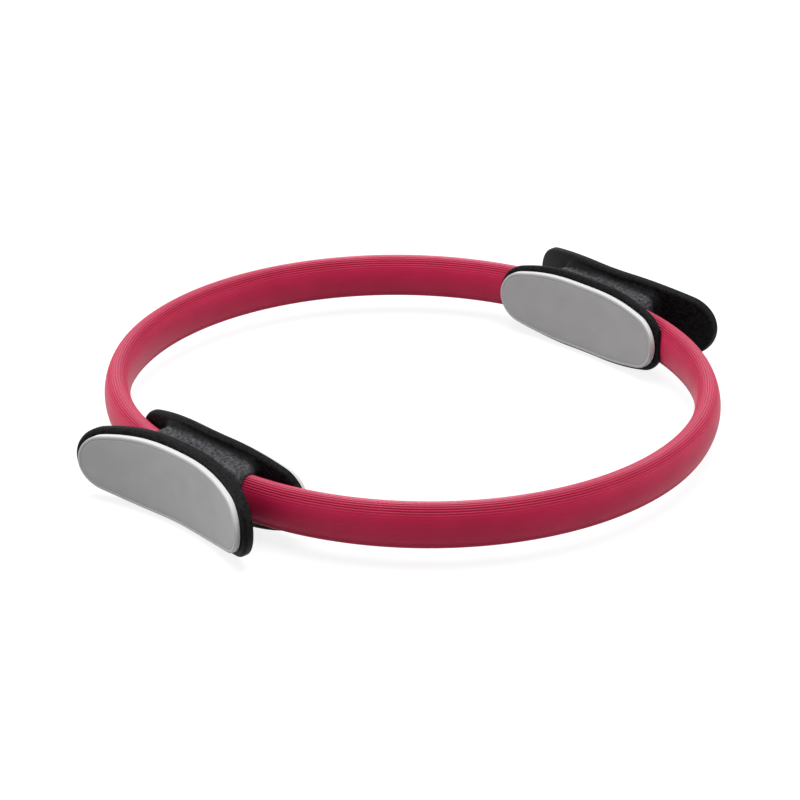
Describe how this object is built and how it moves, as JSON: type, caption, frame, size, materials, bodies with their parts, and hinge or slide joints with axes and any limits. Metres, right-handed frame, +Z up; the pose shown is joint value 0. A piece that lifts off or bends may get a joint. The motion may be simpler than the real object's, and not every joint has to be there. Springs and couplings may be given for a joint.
{
  "type": "pilates ring",
  "caption": "Springy round exercise hoop in a soft ribbed sleeve, with opposed spool-shaped handles padded inside and out for squeezing with hands or legs.",
  "frame": {"origin": "centre of the hoop, on the floor that the handles rest on", "axes": "+Z up through the lying hoop, +Y from the front handle to the rear handle, +X across the hoop to the right sleeve"},
  "size_m": [0.3798, 0.4078, 0.051],
  "materials": {
    "glass_fibre": "bare glass-fibre strip",
    "sleeve": "matt soft foam rubber with fine ribs along its crests",
    "shell": "fine-grained black plastic",
    "pad": "smooth closed-cell foam",
    "adhesive": "thin adhesive film",
    "fastener": "zinc-plated steel"
  },
  "bodies": {
    "hoop": {"outer_band": "glass_fibre", "inner_band": "glass_fibre", "right_sleeve": "sleeve", "left_sleeve": "sleeve"},
    "front_grip": {"front_outer_shell": "shell", "front_outer_pad": "pad", "front_outer_pad_film": "adhesive", "front_inner_shell": "shell", "front_inner_pad": "pad", "front_inner_pad_film": "adhesive", "front_shell_screws": "fastener", "front_band_rivets": "fastener"},
    "rear_grip": {"rear_outer_shell": "shell", "rear_outer_pad": "pad", "rear_outer_pad_film": "adhesive", "rear_inner_shell": "shell", "rear_inner_pad": "pad", "rear_inner_pad_film": "adhesive", "rear_shell_screws": "fastener", "rear_band_rivets": "fastener"}
  },
  "joints": [
    {"name": "front_squeeze", "type": "slide", "parent": "hoop", "child": "front_grip", "axis": [0, 1, 0], "range_m": [-0.015, 0.035], "stiffness_N_per_m": 4300, "deforming": ["outer_band", "inner_band", "right_sleeve", "left_sleeve"]},
    {"name": "rear_squeeze", "type": "slide", "parent": "hoop", "child": "rear_grip", "axis": [0, -1, 0], "range_m": [-0.015, 0.035], "stiffness_N_per_m": 4300, "deforming": ["outer_band", "inner_band", "right_sleeve", "left_sleeve"]}
  ],
  "couplings": [
    {"joint": "rear_squeeze", "follows": "front_squeeze", "ratio": 1}
  ]
}
